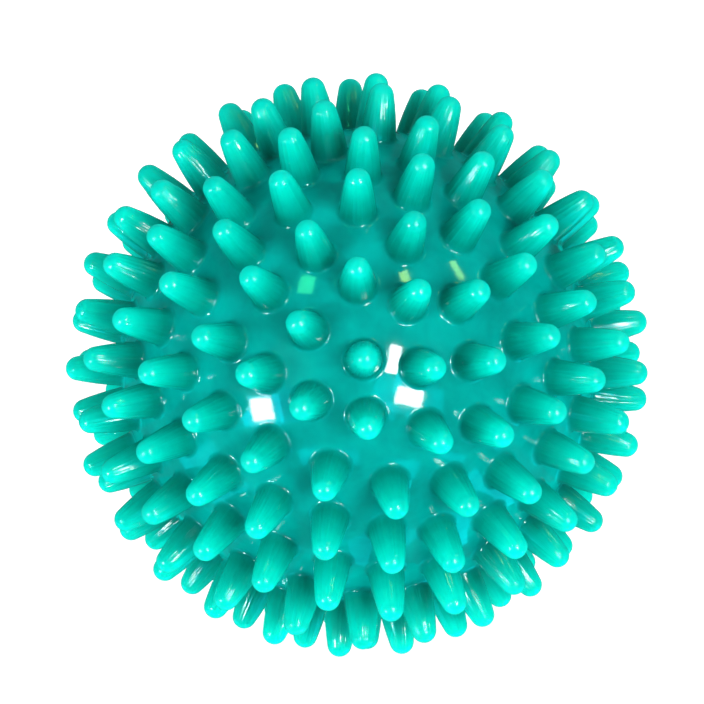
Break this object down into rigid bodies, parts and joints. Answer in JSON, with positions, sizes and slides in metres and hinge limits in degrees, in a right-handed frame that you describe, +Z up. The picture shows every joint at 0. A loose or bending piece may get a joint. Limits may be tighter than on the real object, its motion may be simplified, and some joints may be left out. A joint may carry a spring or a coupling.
{
  "type": "massage ball",
  "caption": "Inflatable hollow vinyl massage ball covered in long round-tipped spikes, with a needle valve and a pull-out plug.",
  "frame": {"origin": "centre of the ball", "axes": "+Z up, with the ball standing on four spike tips; -Y is the side the reference view looks at; the valve is on the far side, pointing to -X +Y and slightly up"},
  "size_m": [0.0895, 0.0896, 0.089],
  "materials": {
    "vinyl": "glossy soft vinyl",
    "valve_rubber": "satin",
    "plug_plastic": "satin"
  },
  "bodies": {
    "ball": {"skin": "vinyl", "spikes": "vinyl", "valve_sleeve": "valve_rubber"},
    "plug": {"valve_plug": "plug_plastic"}
  },
  "joints": [
    {"name": "plug_pull", "type": "slide", "parent": "ball", "child": "plug", "axis": [-0.5746, 0.7866, 0.226], "range_m": [0, 0.012]}
  ]
}
